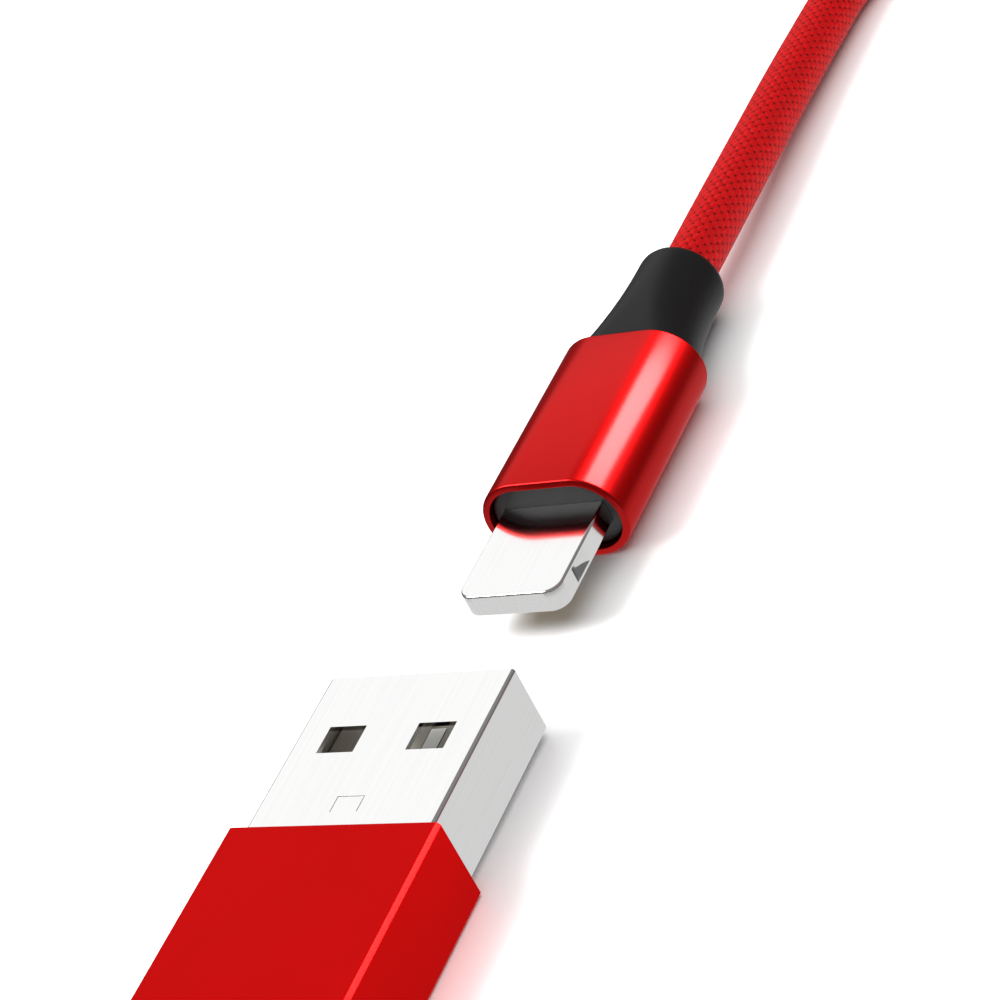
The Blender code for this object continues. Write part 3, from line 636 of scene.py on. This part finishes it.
def rounded_block(low, high, edge_r, steps=3, corner_r=0, corners=0):
    """A box between two corners, with all its edges rounded. Its upright edges beyond the y given can
    have a larger radius, which is rounded first."""
    bm = bmesh.new()
    bmesh.ops.create_cube(bm, size=1)
    low, high = Vector(low), Vector(high)
    size = Matrix.Diagonal((*(high - low), 1))
    bmesh.ops.transform(bm, matrix=Matrix.Translation((low + high) / 2) @ size, verts=bm.verts)
    rounding = {"affect": "EDGES", "profile": 0.5, "material": -1}
    upright = [e for e in bm.edges if abs(e.verts[0].co.z - e.verts[1].co.z) > (high.z - low.z) / 2]
    upright = [e for e in upright if e.verts[0].co.y > corners]
    if corner_r:
        bmesh.ops.bevel(bm, geom=upright, offset=corner_r, segments=4 * steps, **rounding)
    around = [e for e in bm.edges if e.calc_face_angle(0) > math.radians(40)]
    bmesh.ops.bevel(bm, geom=around, offset=edge_r, segments=steps, **rounding)
    return bm


block_half = shell_hole[0] / 2 - CONTACT_GAP
block_front = SHELL_OUT - BLOCK_BACK
low = (-block_half, -SHELL_IN, CONTACT_GAP - shell_hole[1] / 2)
body = rounded_block(low, (block_half, block_front, 0), 0.1 * MM)
grooves = []
for x in CONTACT_X:
    low = (x - GROOVE[0] / 2, -2 * SHELL_IN, -GROOVE[1])
    high = (x + GROOVE[0] / 2, 2 * SHELL_OUT, GROOVE[1])
    grooves.append(rounded_block(low, high, 0.03 * MM, 2))
block_mesh = settle(carve(body, grooves), charger_place, "contact_block", 30)
block = add_piece("contact_block", block_mesh, cream)
keep_flat(block)
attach(block, "root")
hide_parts("charger_contact_block")

# Hard gold over nickel where the contact is wiped by the socket, a warm satin mirror, and plain tin
# behind it, greyer and duller.
gold, tree, shader = new_finish("hard_gold_plating", {"Metallic": 1.0, "Roughness": 0.22})
WIPE = 0.1 * MM
place = add_node(tree, "ShaderNodeTexCoord").outputs["Object"]
wiped = {"vector_type": "TEXTURE", "Rotation": (0, 0, LAY_ANGLE), "Scale": (20, 1, 1)}
wiped = add_node(tree, "ShaderNodeMapping", wiped, {0: place}).outputs[0]
wipes = {"Scale": 1 / WIPE, "Detail": 3, "Roughness": 0.6}
wipes = add_node(tree, "ShaderNodeTexNoise", wipes, {"Vector": wiped}).outputs["Fac"]
tone = {"data_type": "RGBA", 6: linear("#f0c878"), 7: linear("#fbdc98")}
golden = add_node(tree, "ShaderNodeMix", tone, {0: wipes}).outputs[2]
GOLD_FROM_TIP = 1.9 * MM
forward = {"operation": "DOT_PRODUCT", 1: tuple(ALONG)}
forward = add_node(tree, "ShaderNodeVectorMath", forward, {0: place}).outputs["Value"]
gold_line = charger_seat.dot(ALONG) + SHELL_OUT - GOLD_FROM_TIP
plated = {"From Min": gold_line - 0.1 * MM, "From Max": gold_line + 0.1 * MM}
plated = add_node(tree, "ShaderNodeMapRange", plated, {0: forward}).outputs[0]
tinned = {"data_type": "RGBA", 6: linear("#b9b9b4")}
tone = add_node(tree, "ShaderNodeMix", tinned, {0: plated, 7: golden}).outputs[2]
tree.links.new(tone, shader.inputs["Base Color"])
gloss = {"To Min": 0.16, "To Max": 0.3}
gloss = add_node(tree, "ShaderNodeMapRange", gloss, {0: wipes}).outputs[0]
tree.links.new(gloss, shader.inputs["Roughness"])

CONTACT_TAIL = SHELL_IN + 1.8 * MM
POWER_TIP_BACK = 0.6 * MM  # how far behind the block's front the outer two contacts end
DATA_TIP_BACK = 1.6 * MM  # and the inner two, which meet the socket's contacts later
for name, x in zip(CONTACT_NAMES, CONTACT_X):
    front = block_front - (POWER_TIP_BACK if abs(x) > 2 * MM else DATA_TIP_BACK)
    low = (x - CONTACT[0] / 2, -CONTACT_TAIL, CONTACT_GAP / 2 - CONTACT[1])
    bm = rounded_block(low, (x + CONTACT[0] / 2, front, CONTACT_GAP / 2), 0.05 * MM, 2)
    contact_mesh = settle(bm, charger_place, "contact_strip_" + name, 40)
    contact = add_piece("contact_strip_" + name, contact_mesh, gold)
    keep_flat(contact)
    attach(contact, "root")
    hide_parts("charger_contact_" + name)


# ---- Charger plug core
# What the housing hides: a moulded core pressed in behind the shell, four insulated wires that run
# through it from the contacts, and a steel collar crimped on the end of the cable's jacket.


def dress(name, finish):
    """Gives a CAD node's own mesh a finish."""
    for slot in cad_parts[name].material_slots:
        slot.material = finish


# Natural polypropylene: milky white, a little see-through at thin edges, with flow marks.
FLOW = 1.5 * MM
glow_through = {"Subsurface Weight": 0.2, "Subsurface Radius": (1 * MM, 0.9 * MM, 0.8 * MM)}
core = moulded(
    "natural_polypropylene",
    {"Roughness": 0.4, "IOR": 1.49, "Subsurface Scale": 1.0} | glow_through,
    {"Scale": 1 / FLOW, "Detail": 4, "Distortion": 1.5},
    ("#dcdcd6", "#ecece8"),
    gloss=(0.32, 0.48),
)
dress("charger_inner_mould", core)

# Pressed steel, zinc plated and left dull: grey, mottled by the crystals of the zinc.
zinc, tree, shader = new_finish("zinc_plated_steel", {"Metallic": 1.0, "Roughness": 0.38})
CRYSTAL = 0.5 * MM
place = add_node(tree, "ShaderNodeTexCoord").outputs["Object"]
crystals = {"Scale": 1 / CRYSTAL}
crystals = add_node(tree, "ShaderNodeTexVoronoi", crystals, {"Vector": place}).outputs["Distance"]
gloss = {"To Min": 0.3, "To Max": 0.5}
gloss = add_node(tree, "ShaderNodeMapRange", gloss, {0: crystals}).outputs[0]
tree.links.new(gloss, shader.inputs["Roughness"])
tone = {"data_type": "RGBA", 6: linear("#b4b7ba"), 7: linear("#cdd0d2")}
tone = add_node(tree, "ShaderNodeMix", tone, {0: crystals}).outputs[2]
tree.links.new(tone, shader.inputs["Base Color"])
dress("charger_crimp_collar", zinc)

# Soft vinyl insulation, extruded: glossy, with a slightly uneven skin.
WIRE_COLOURS = {"red": "#b8201c", "white": "#e4e4e0", "green": "#1f7a38", "black": "#1a1a1c"}
SKIN = 0.4 * MM
for name, hex_colour in WIRE_COLOURS.items():
    vinyl, tree, shader = new_finish(name + "_vinyl_insulation", {"Roughness": 0.3, "IOR": 1.53})
    place = add_node(tree, "ShaderNodeTexCoord").outputs["Object"]
    waves = {"Scale": 1 / SKIN, "Detail": 2}
    waves = add_node(tree, "ShaderNodeTexNoise", waves, {"Vector": place}).outputs["Fac"]
    faded = {"data_type": "RGBA", "blend_type": "MULTIPLY", 6: linear(hex_colour), 7: linear("#d8d8d8")}
    tone = add_node(tree, "ShaderNodeMix", faded, {0: waves}).outputs[2]
    tree.links.new(tone, shader.inputs["Base Color"])
    gloss = {"To Min": 0.25, "To Max": 0.4}
    gloss = add_node(tree, "ShaderNodeMapRange", gloss, {0: waves}).outputs[0]
    tree.links.new(gloss, shader.inputs["Roughness"])
    dress("charger_wire_" + name, vinyl)
    dress("phone_wire_" + name, vinyl)


# ---- Charger plug boot
# A strain relief moulded on to the cable in a black thermoplastic elastomer. Its root fills the back
# of the housing, and it sweeps in to a round neck with a full-rounded end.

# Thermoplastic elastomer: near black, satin from the mould's fine matt texture, soft highlights.
BOOT_TEXTURE = 0.08 * MM
elastomer = moulded(
    "moulded_elastomer",
    {"Roughness": 0.5, "IOR": 1.5, "Specular IOR Level": 0.16},
    {"Scale": 1 / BOOT_TEXTURE, "Detail": 3, "Roughness": 0.6},
    ("#0e0e0f", "#161617"),
    gloss=(0.42, 0.56),
    relief=(0.003 * MM, 0.4),
)

FIT_GAP = 0.05 * MM
CHARGER_JACKET_END = 13 * MM
CHARGER_NECK_D = 5.2 * MM
CHARGER_ROOT = 3.6 * MM  # how far behind the jacket's end the root starts, clear of the collar
BOOT_OUT = 9 * MM
BOOT_END_R = 0.8 * MM
BORE_GAP = 0.075 * MM
BOOT_SWEEP = 2.4  # 1 would be a straight taper


def boot_mesh(name, base, base_radius, neck, front, back, place):
    """A boot from its root to its round end, with the cable's bore through it."""
    bore = CABLE_D + 2 * BORE_GAP
    rings = [outline(*base, base_radius, front, 16)]
    steps = 40
    for step in range(steps + 1):
        share = step / steps
        sweep = (1 - share) ** BOOT_SWEEP
        width, height = (neck + (side - neck) * sweep for side in base)
        radius = base_radius + (neck / 2 - base_radius) * min(1, 2 * share)
        rings.append(outline(width, height, radius, back - (BOOT_OUT - BOOT_END_R) * share, 16))
    for degrees in range(15, 91, 15):
        drop = BOOT_END_R * (1 - math.cos(math.radians(degrees)))
        y = back - BOOT_OUT + BOOT_END_R * (1 - math.sin(math.radians(degrees)))
        rings.append(outline(neck - 2 * drop, neck - 2 * drop, neck / 2, y, 16))
    rings += [outline(bore, bore, bore / 2, y, 16) for y in (back - BOOT_OUT, front)]
    return settle(skin(rings), place, name, 50)


root = [side - 2 * FIT_GAP for side in opening]
front = -CHARGER_JACKET_END - CHARGER_ROOT
sizes = (root, HOUSING_BEVEL, CHARGER_NECK_D, front, -HOUSING[1])
relief_mesh = boot_mesh("charger_strain_relief", *sizes, charger_place)
charger_boot = add_piece("charger_strain_relief", relief_mesh, elastomer)
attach(charger_boot, "root")
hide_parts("charger_boot")


# ---- Phone plug sleeve
# The same aluminium, drawn with round sides and dyed a lighter red under a glossier seal. The front
# rim is turned back a little, and the black insert sits half a millimetre behind it.

SLEEVE = (9.4 * MM, 13.8 * MM, 5.7 * MM)
SLEEVE_WALL = 0.45 * MM
SLEEVE_RIM = 0.14 * MM
bright_red = anodised("bright_red_anodised_aluminium", "#aa0506", "#b6090a", 0.15, 0.34)
sleeve_low, sleeve_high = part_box("phone_sleeve")
phone_seat = (sleeve_low + sleeve_high) / 2 - ALONG * (SLEEVE[1] / 2)
phone_place = Matrix.Translation(phone_seat) @ Matrix.Rotation(LAY_ANGLE + math.pi / 2, 4, "Z")

sleeve_hole = (SLEEVE[0] - 2 * SLEEVE_WALL, SLEEVE[2] - 2 * SLEEVE_WALL)
rings = []
for end, y in ((0, 0), (1, -SLEEVE[1])):
    turns = (0, 30, 60, 90) if end == 0 else (90, 60, 30, 0)
    for degrees in turns:
        inset = 2 * SLEEVE_RIM * (1 - math.sin(math.radians(degrees)))
        back = SLEEVE_RIM * (1 - math.cos(math.radians(degrees)))
        size = (SLEEVE[0] - inset, SLEEVE[2] - inset)
        rings.append(outline(*size, SLEEVE[2] / 2, y + (back if end else -back), 16))
rings += [outline(*sleeve_hole, SLEEVE[2] / 2, y, 16) for y in (-SLEEVE[1], 0)]
sleeve = add_piece("sleeve", settle(skin(rings), phone_place, "sleeve", 40), bright_red)
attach(sleeve, "root")
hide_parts("phone_sleeve")


# ---- Phone plug nose insert
# A moulded black plug that closes the sleeve's mouth, a little behind its rim. The tongue comes out
# of a slot in it.

INSERT_BACK = 0.5 * MM
INSERT_LONG = 3 * MM
INSERT_EDGE = 0.15 * MM
INSERT_TEXTURE = 0.06 * MM
SLOT_GAP = 0.01 * MM
SLOT_CORNER = 0.14 * MM

# Polycarbonate, black: moulded in a fine matt mould, so it looks dark grey where light falls on it.
matt_black = moulded(
    "moulded_polycarbonate",
    {"Roughness": 0.5, "IOR": 1.58},
    {"Scale": 1 / INSERT_TEXTURE, "Detail": 3, "Roughness": 0.6},
    ("#1c1c1e", "#28282a"),
    gloss=(0.42, 0.6),
    relief=(0.003 * MM, 0.5),
)

TONGUE = (6.7 * MM, 7.1 * MM, 1.5 * MM)
insert_size = [side - 2 * FIT_GAP for side in sleeve_hole]
tongue_slot = [TONGUE[0] + 2 * SLOT_GAP, TONGUE[2] + 2 * SLOT_GAP]
front = -INSERT_BACK
back = front - INSERT_LONG
rings = []
for degrees in (90, 60, 30, 0):
    inset = 2 * INSERT_EDGE * (1 - math.cos(math.radians(degrees)))
    y = front - INSERT_EDGE * (1 - math.sin(math.radians(degrees)))
    rings.append(outline(insert_size[0] - inset, insert_size[1] - inset, SLEEVE[2] / 2, y, 16))
rings.append(outline(*insert_size, SLEEVE[2] / 2, back, 16))
rings += [outline(*tongue_slot, SLOT_CORNER, y, 16) for y in (back, front)]
insert = add_piece("nose_insert", settle(skin(rings), phone_place, "nose_insert", 35), matt_black)
keep_flat(insert)
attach(insert, "root")
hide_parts("phone_nose_insert")


# ---- Phone plug tongue
# One piece of metal injection moulded steel, polished and plated: a flat tongue with round front
# corners, a latch pocket in each side, and a bed below for the contacts.

TONGUE_IN = 4 * MM
TONGUE_CORNER = 1 * MM
DETENT_FROM_TIP = 3 * MM
DETENT_R = 1.4 * MM
DETENT_DEEP = 0.35 * MM
DETENT_HIGH = 1 * MM
PIN_COUNT = 8
PIN_PITCH = 0.54 * MM
PIN = (0.38 * MM, 2.6 * MM, 0.16 * MM)
PIN_FROM_TIP = 1.3 * MM
BED_MARGIN = 0.5 * MM
BED_DEEP = 0.55 * MM

half_thick = TONGUE[2] / 2
pin_front = TONGUE[1] - PIN_FROM_TIP
pin_back = pin_front - PIN[1]
bed_half = (PIN_COUNT * PIN_PITCH + BED_MARGIN) / 2
low, high = (-TONGUE[0] / 2, -TONGUE_IN, -half_thick), (TONGUE[0] / 2, TONGUE[1], half_thick)
body = rounded_block(low, high, 0.14 * MM, 4, TONGUE_CORNER)
low = (-bed_half, pin_back - BED_MARGIN, -2 * half_thick)
high = (bed_half, pin_front + BED_MARGIN, BED_DEEP - half_thick)
cutters = [rounded_block(low, high, 0.05 * MM, 2, 0.35 * MM, -1)]
for side in (-1, 1):
    cutter = bmesh.new()
    sizes = {"radius1": DETENT_R, "radius2": DETENT_R, "depth": DETENT_HIGH}
    bmesh.ops.create_cone(cutter, cap_ends=True, segments=96, **sizes)
    shift = (side * (TONGUE[0] / 2 + DETENT_R - DETENT_DEEP), TONGUE[1] - DETENT_FROM_TIP, 0)
    bmesh.ops.translate(cutter, vec=shift, verts=cutter.verts)
    cutters.append(cutter)
tongue_mesh = settle(carve(body, cutters), phone_place, "plug_tongue", 30)
tongue = add_piece("plug_tongue", tongue_mesh, nickel)
keep_flat(tongue)
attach(tongue, "root")
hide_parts("phone_tongue_frame")


# ---- Phone plug contacts
# Underneath, a black moulded carrier lies in the tongue's bed, and holds eight contacts of gold-plated
# copper alloy, flush with the tongue's face.

face = FIT_GAP / 2 - half_thick
pin_x = [(i - (PIN_COUNT - 1) / 2) * PIN_PITCH for i in range(PIN_COUNT)]
carrier_half = bed_half - FIT_GAP
low = (-carrier_half, pin_back - BED_MARGIN + FIT_GAP, face)
high = (carrier_half, pin_front + BED_MARGIN - FIT_GAP, BED_DEEP - half_thick - FIT_GAP)
body = rounded_block(low, high, 0.04 * MM, 2, 0.3 * MM, -1)
channels = []
for x in pin_x:
    reach = PIN[0] / 2 + FIT_GAP / 2
    low = (x - reach, pin_back - FIT_GAP / 2, 2 * face)
    high = (x + reach, pin_front + FIT_GAP / 2, face + PIN[2] + FIT_GAP / 2)
    channels.append(rounded_block(low, high, 0.02 * MM, 1, 0.12 * MM, -1))
carrier_mesh = settle(carve(body, channels), phone_place, "contact_carrier", 30)
carrier = add_piece("contact_carrier", carrier_mesh, matt_black)
keep_flat(carrier)
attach(carrier, "root")
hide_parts("phone_contact_carrier")

for number, x in enumerate(pin_x, 1):
    low = (x - PIN[0] / 2, pin_back, face)
    high = (x + PIN[0] / 2, pin_front, face + PIN[2])
    bm = rounded_block(low, high, 0.03 * MM, 2, 0.1 * MM, -1)
    pad = add_piece(f"contact_pad_{number}", settle(bm, phone_place, f"contact_pad_{number}", 40), gold)
    keep_flat(pad)
    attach(pad, "root")
    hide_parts(f"phone_contact_{number}")


# ---- Phone plug circuit
# A small glass-epoxy board behind the tongue carries the control chip, a capacitor and a resistor. A
# milky moulded core holds it, and the crimped collar behind it grips the cable.

# Solder mask over glass epoxy: a glossy deep green, with the weave of the glass faintly in it.
board, tree, shader = new_finish("green_solder_mask", {"Roughness": 0.25, "IOR": 1.55})
GLASS_YARN = 0.5 * MM
place = add_node(tree, "ShaderNodeTexCoord").outputs["Object"]
turned = {"vector_type": "TEXTURE", "Rotation": (0, 0, LAY_ANGLE)}
turned = add_node(tree, "ShaderNodeMapping", turned, {0: place}).outputs[0]
weave = {"Scale": 1 / GLASS_YARN, "Color1": linear("#0d4a22"), "Color2": linear("#125a2b")}
weave = add_node(tree, "ShaderNodeTexChecker", weave, {"Vector": turned}).outputs["Color"]
tree.links.new(weave, shader.inputs["Base Color"])
dress("phone_circuit_board", board)

# Epoxy moulding compound: charcoal, finely speckled by its silica filling, dull.
SILICA = 0.05 * MM
specks = {"Scale": 1 / SILICA, "Detail": 2}
charcoal = ("#1b1b1c", "#2c2c2e")
epoxy = moulded("epoxy_moulding_compound", {"Roughness": 0.6, "IOR": 1.6}, specks, charcoal)
dress("phone_control_chip", epoxy)
dress("phone_resistor", epoxy)

# Fired barium titanate: a tan ceramic with a fine, slightly uneven grain.
GRIT = 0.08 * MM
grit = {"Scale": 1 / GRIT, "Detail": 3}
tan = ("#a5835c", "#bc9a70")
ceramic = moulded("fired_ceramic", {"Roughness": 0.4, "IOR": 1.8}, grit, tan)
dress("phone_capacitor", ceramic)

dress("phone_inner_mould", core)
dress("phone_crimp_collar", zinc)


# ---- Phone plug boot
# The same elastomer boot as on the other plug, but with a root that fills the round-sided sleeve.

PHONE_JACKET_END = 9.6 * MM
PHONE_NECK_D = 5.6 * MM
PHONE_ROOT = 2.2 * MM
root = [side - 2 * FIT_GAP for side in sleeve_hole]
front = -PHONE_JACKET_END - PHONE_ROOT
sizes = (root, SLEEVE[2] / 2, PHONE_NECK_D, front, -SLEEVE[1])
relief_mesh = boot_mesh("phone_strain_relief", *sizes, phone_place)
phone_boot = add_piece("phone_strain_relief", relief_mesh, elastomer)
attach(phone_boot, "root")
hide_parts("phone_boot")


# ---- Table and light
# A white table top with a white wall behind it. A large soft box stands to the left, so that shadows
# fall to the right, and one overhead lights the table top alone, which keeps them light. To the right,
# three draw the bright lines on the red aluminium, and one fills the dark side of cable and boots.

bm = bmesh.new()
bmesh.ops.create_grid(bm, x_segments=1, y_segments=1, size=3)
floor_mesh = bpy.data.meshes.new("table_top")
bm.to_mesh(floor_mesh)
bm.free()
white, tree, shader = new_finish("white_laminate", {"Roughness": 0.9})
shader.inputs["Base Color"].default_value = linear("#f8f8f8")
floor = add_piece("table_top", floor_mesh, white)
floor.visible_glossy = False

world = bpy.data.worlds.new("room")
bpy.context.scene.world = world
world.use_nodes = True
tree = world.node_tree
direction = add_node(tree, "ShaderNodeTexCoord").outputs["Generated"]
TO_WALL = (0.1, 0.86, 0.5)
white_wall = {"operation": "DOT_PRODUCT", 1: TO_WALL}
white_wall = add_node(tree, "ShaderNodeVectorMath", white_wall, {0: direction}).outputs["Value"]
faces_wall = {"interpolation_type": "SMOOTHSTEP", "From Min": 0.915, "From Max": 0.97, "To Max": 1.12}
faces_wall = add_node(tree, "ShaderNodeMapRange", faces_wall, {0: white_wall}).outputs[0]
up = add_node(tree, "ShaderNodeSeparateXYZ", {}, {0: direction}).outputs[2]
above = {"interpolation_type": "SMOOTHSTEP", "From Min": 0.05, "From Max": 0.3}
above = add_node(tree, "ShaderNodeMapRange", above, {0: up}).outputs[0]
wall = add_node(tree, "ShaderNodeMath", {"operation": "MULTIPLY"}, {0: faces_wall, 1: above}).outputs[0]
# How bright the room is, from straight below at 0 to straight above at 1. Only reflections see what is
# below, because the table top hides it from everything else, and it stands for the lit table.
height = add_node(tree, "ShaderNodeMapRange", {"From Min": -1.0}, {0: up}).outputs[0]
ramp = add_node(tree, "ShaderNodeValToRGB", {}, {0: height})
stops = ramp.color_ramp.elements
ROOM = ((0.26, 0.95), (0.35, 0.18), (0.55, 0.2), (0.7, 0.32))
while len(stops) < len(ROOM):
    stops.new(0.5)
for stop, (position, light) in zip(stops, ROOM):
    stop.position, stop.color = position, (light, light, light, 1)
glow = add_node(tree, "ShaderNodeMath", {"operation": "ADD"}, {0: wall, 1: ramp.outputs[0]}).outputs[0]
background = tree.nodes["Background"]
background.inputs[0].default_value = (1, 1, 1, 1)
tree.links.new(glow, background.inputs[1])


def add_light(name, direction, distance, size, power, long_side=(0, 0, 1)):
    """A soft box: a rectangle of light in that direction from the plugs, which it faces."""
    lamp = bpy.data.lights.new(name, "AREA")
    lamp.shape = "RECTANGLE"
    lamp.size, lamp.size_y = size
    lamp.energy = power
    made = bpy.data.objects.new(name, lamp)
    back = Vector(direction).normalized()
    length = (Vector(long_side) - back * back.dot(long_side)).normalized()
    made.rotation_euler = Matrix((length.cross(back), length, back)).transposed().to_euler()
    made.location = Vector((0.02, 0.02, 0)) + back * distance
    bpy.context.collection.objects.link(made)
    return made


add_light("soft_box", (-0.62, 0.26, 0.8), 1, (0.55, 0.55), 11)


def light_only(lamp, pieces, diffuse=True):
    """Keeps a light to some of the pieces, and to their reflections if it isn't diffuse."""
    lamp.visible_diffuse = diffuse
    lit = bpy.data.collections.new("lit_by_" + lamp.name)
    for piece in pieces:
        lit.objects.link(piece)
    lamp.light_linking.receiver_collection = lit


strip_box = add_light("strip_box", (0.72, 0.215, 0.663), 0.7, (0.42, 0.4), 22, ALONG)
edge_box = add_light("edge_box", (0.785, 0.148, 0.6), 0.7, (0.3, 0.4), 9, ALONG)
side_box = add_light("side_box", (0.97, -0.1, 0.1), 0.7, (0.5, 0.5), 18)
fill_box = add_light("fill_box", (0.55, -0.5, 0.6), 0.7, (0.5, 0.5), 2.5)
table_box = add_light("table_box", (0, 0, 1), 1, (1.6, 1.6), 13, ALONG)
light_only(strip_box, [sleeve], diffuse=False)
light_only(edge_box, [housing], diffuse=False)
light_only(side_box, [housing], diffuse=False)
light_only(fill_box, [cable, phone_boot, charger_boot])
light_only(table_box, [floor])
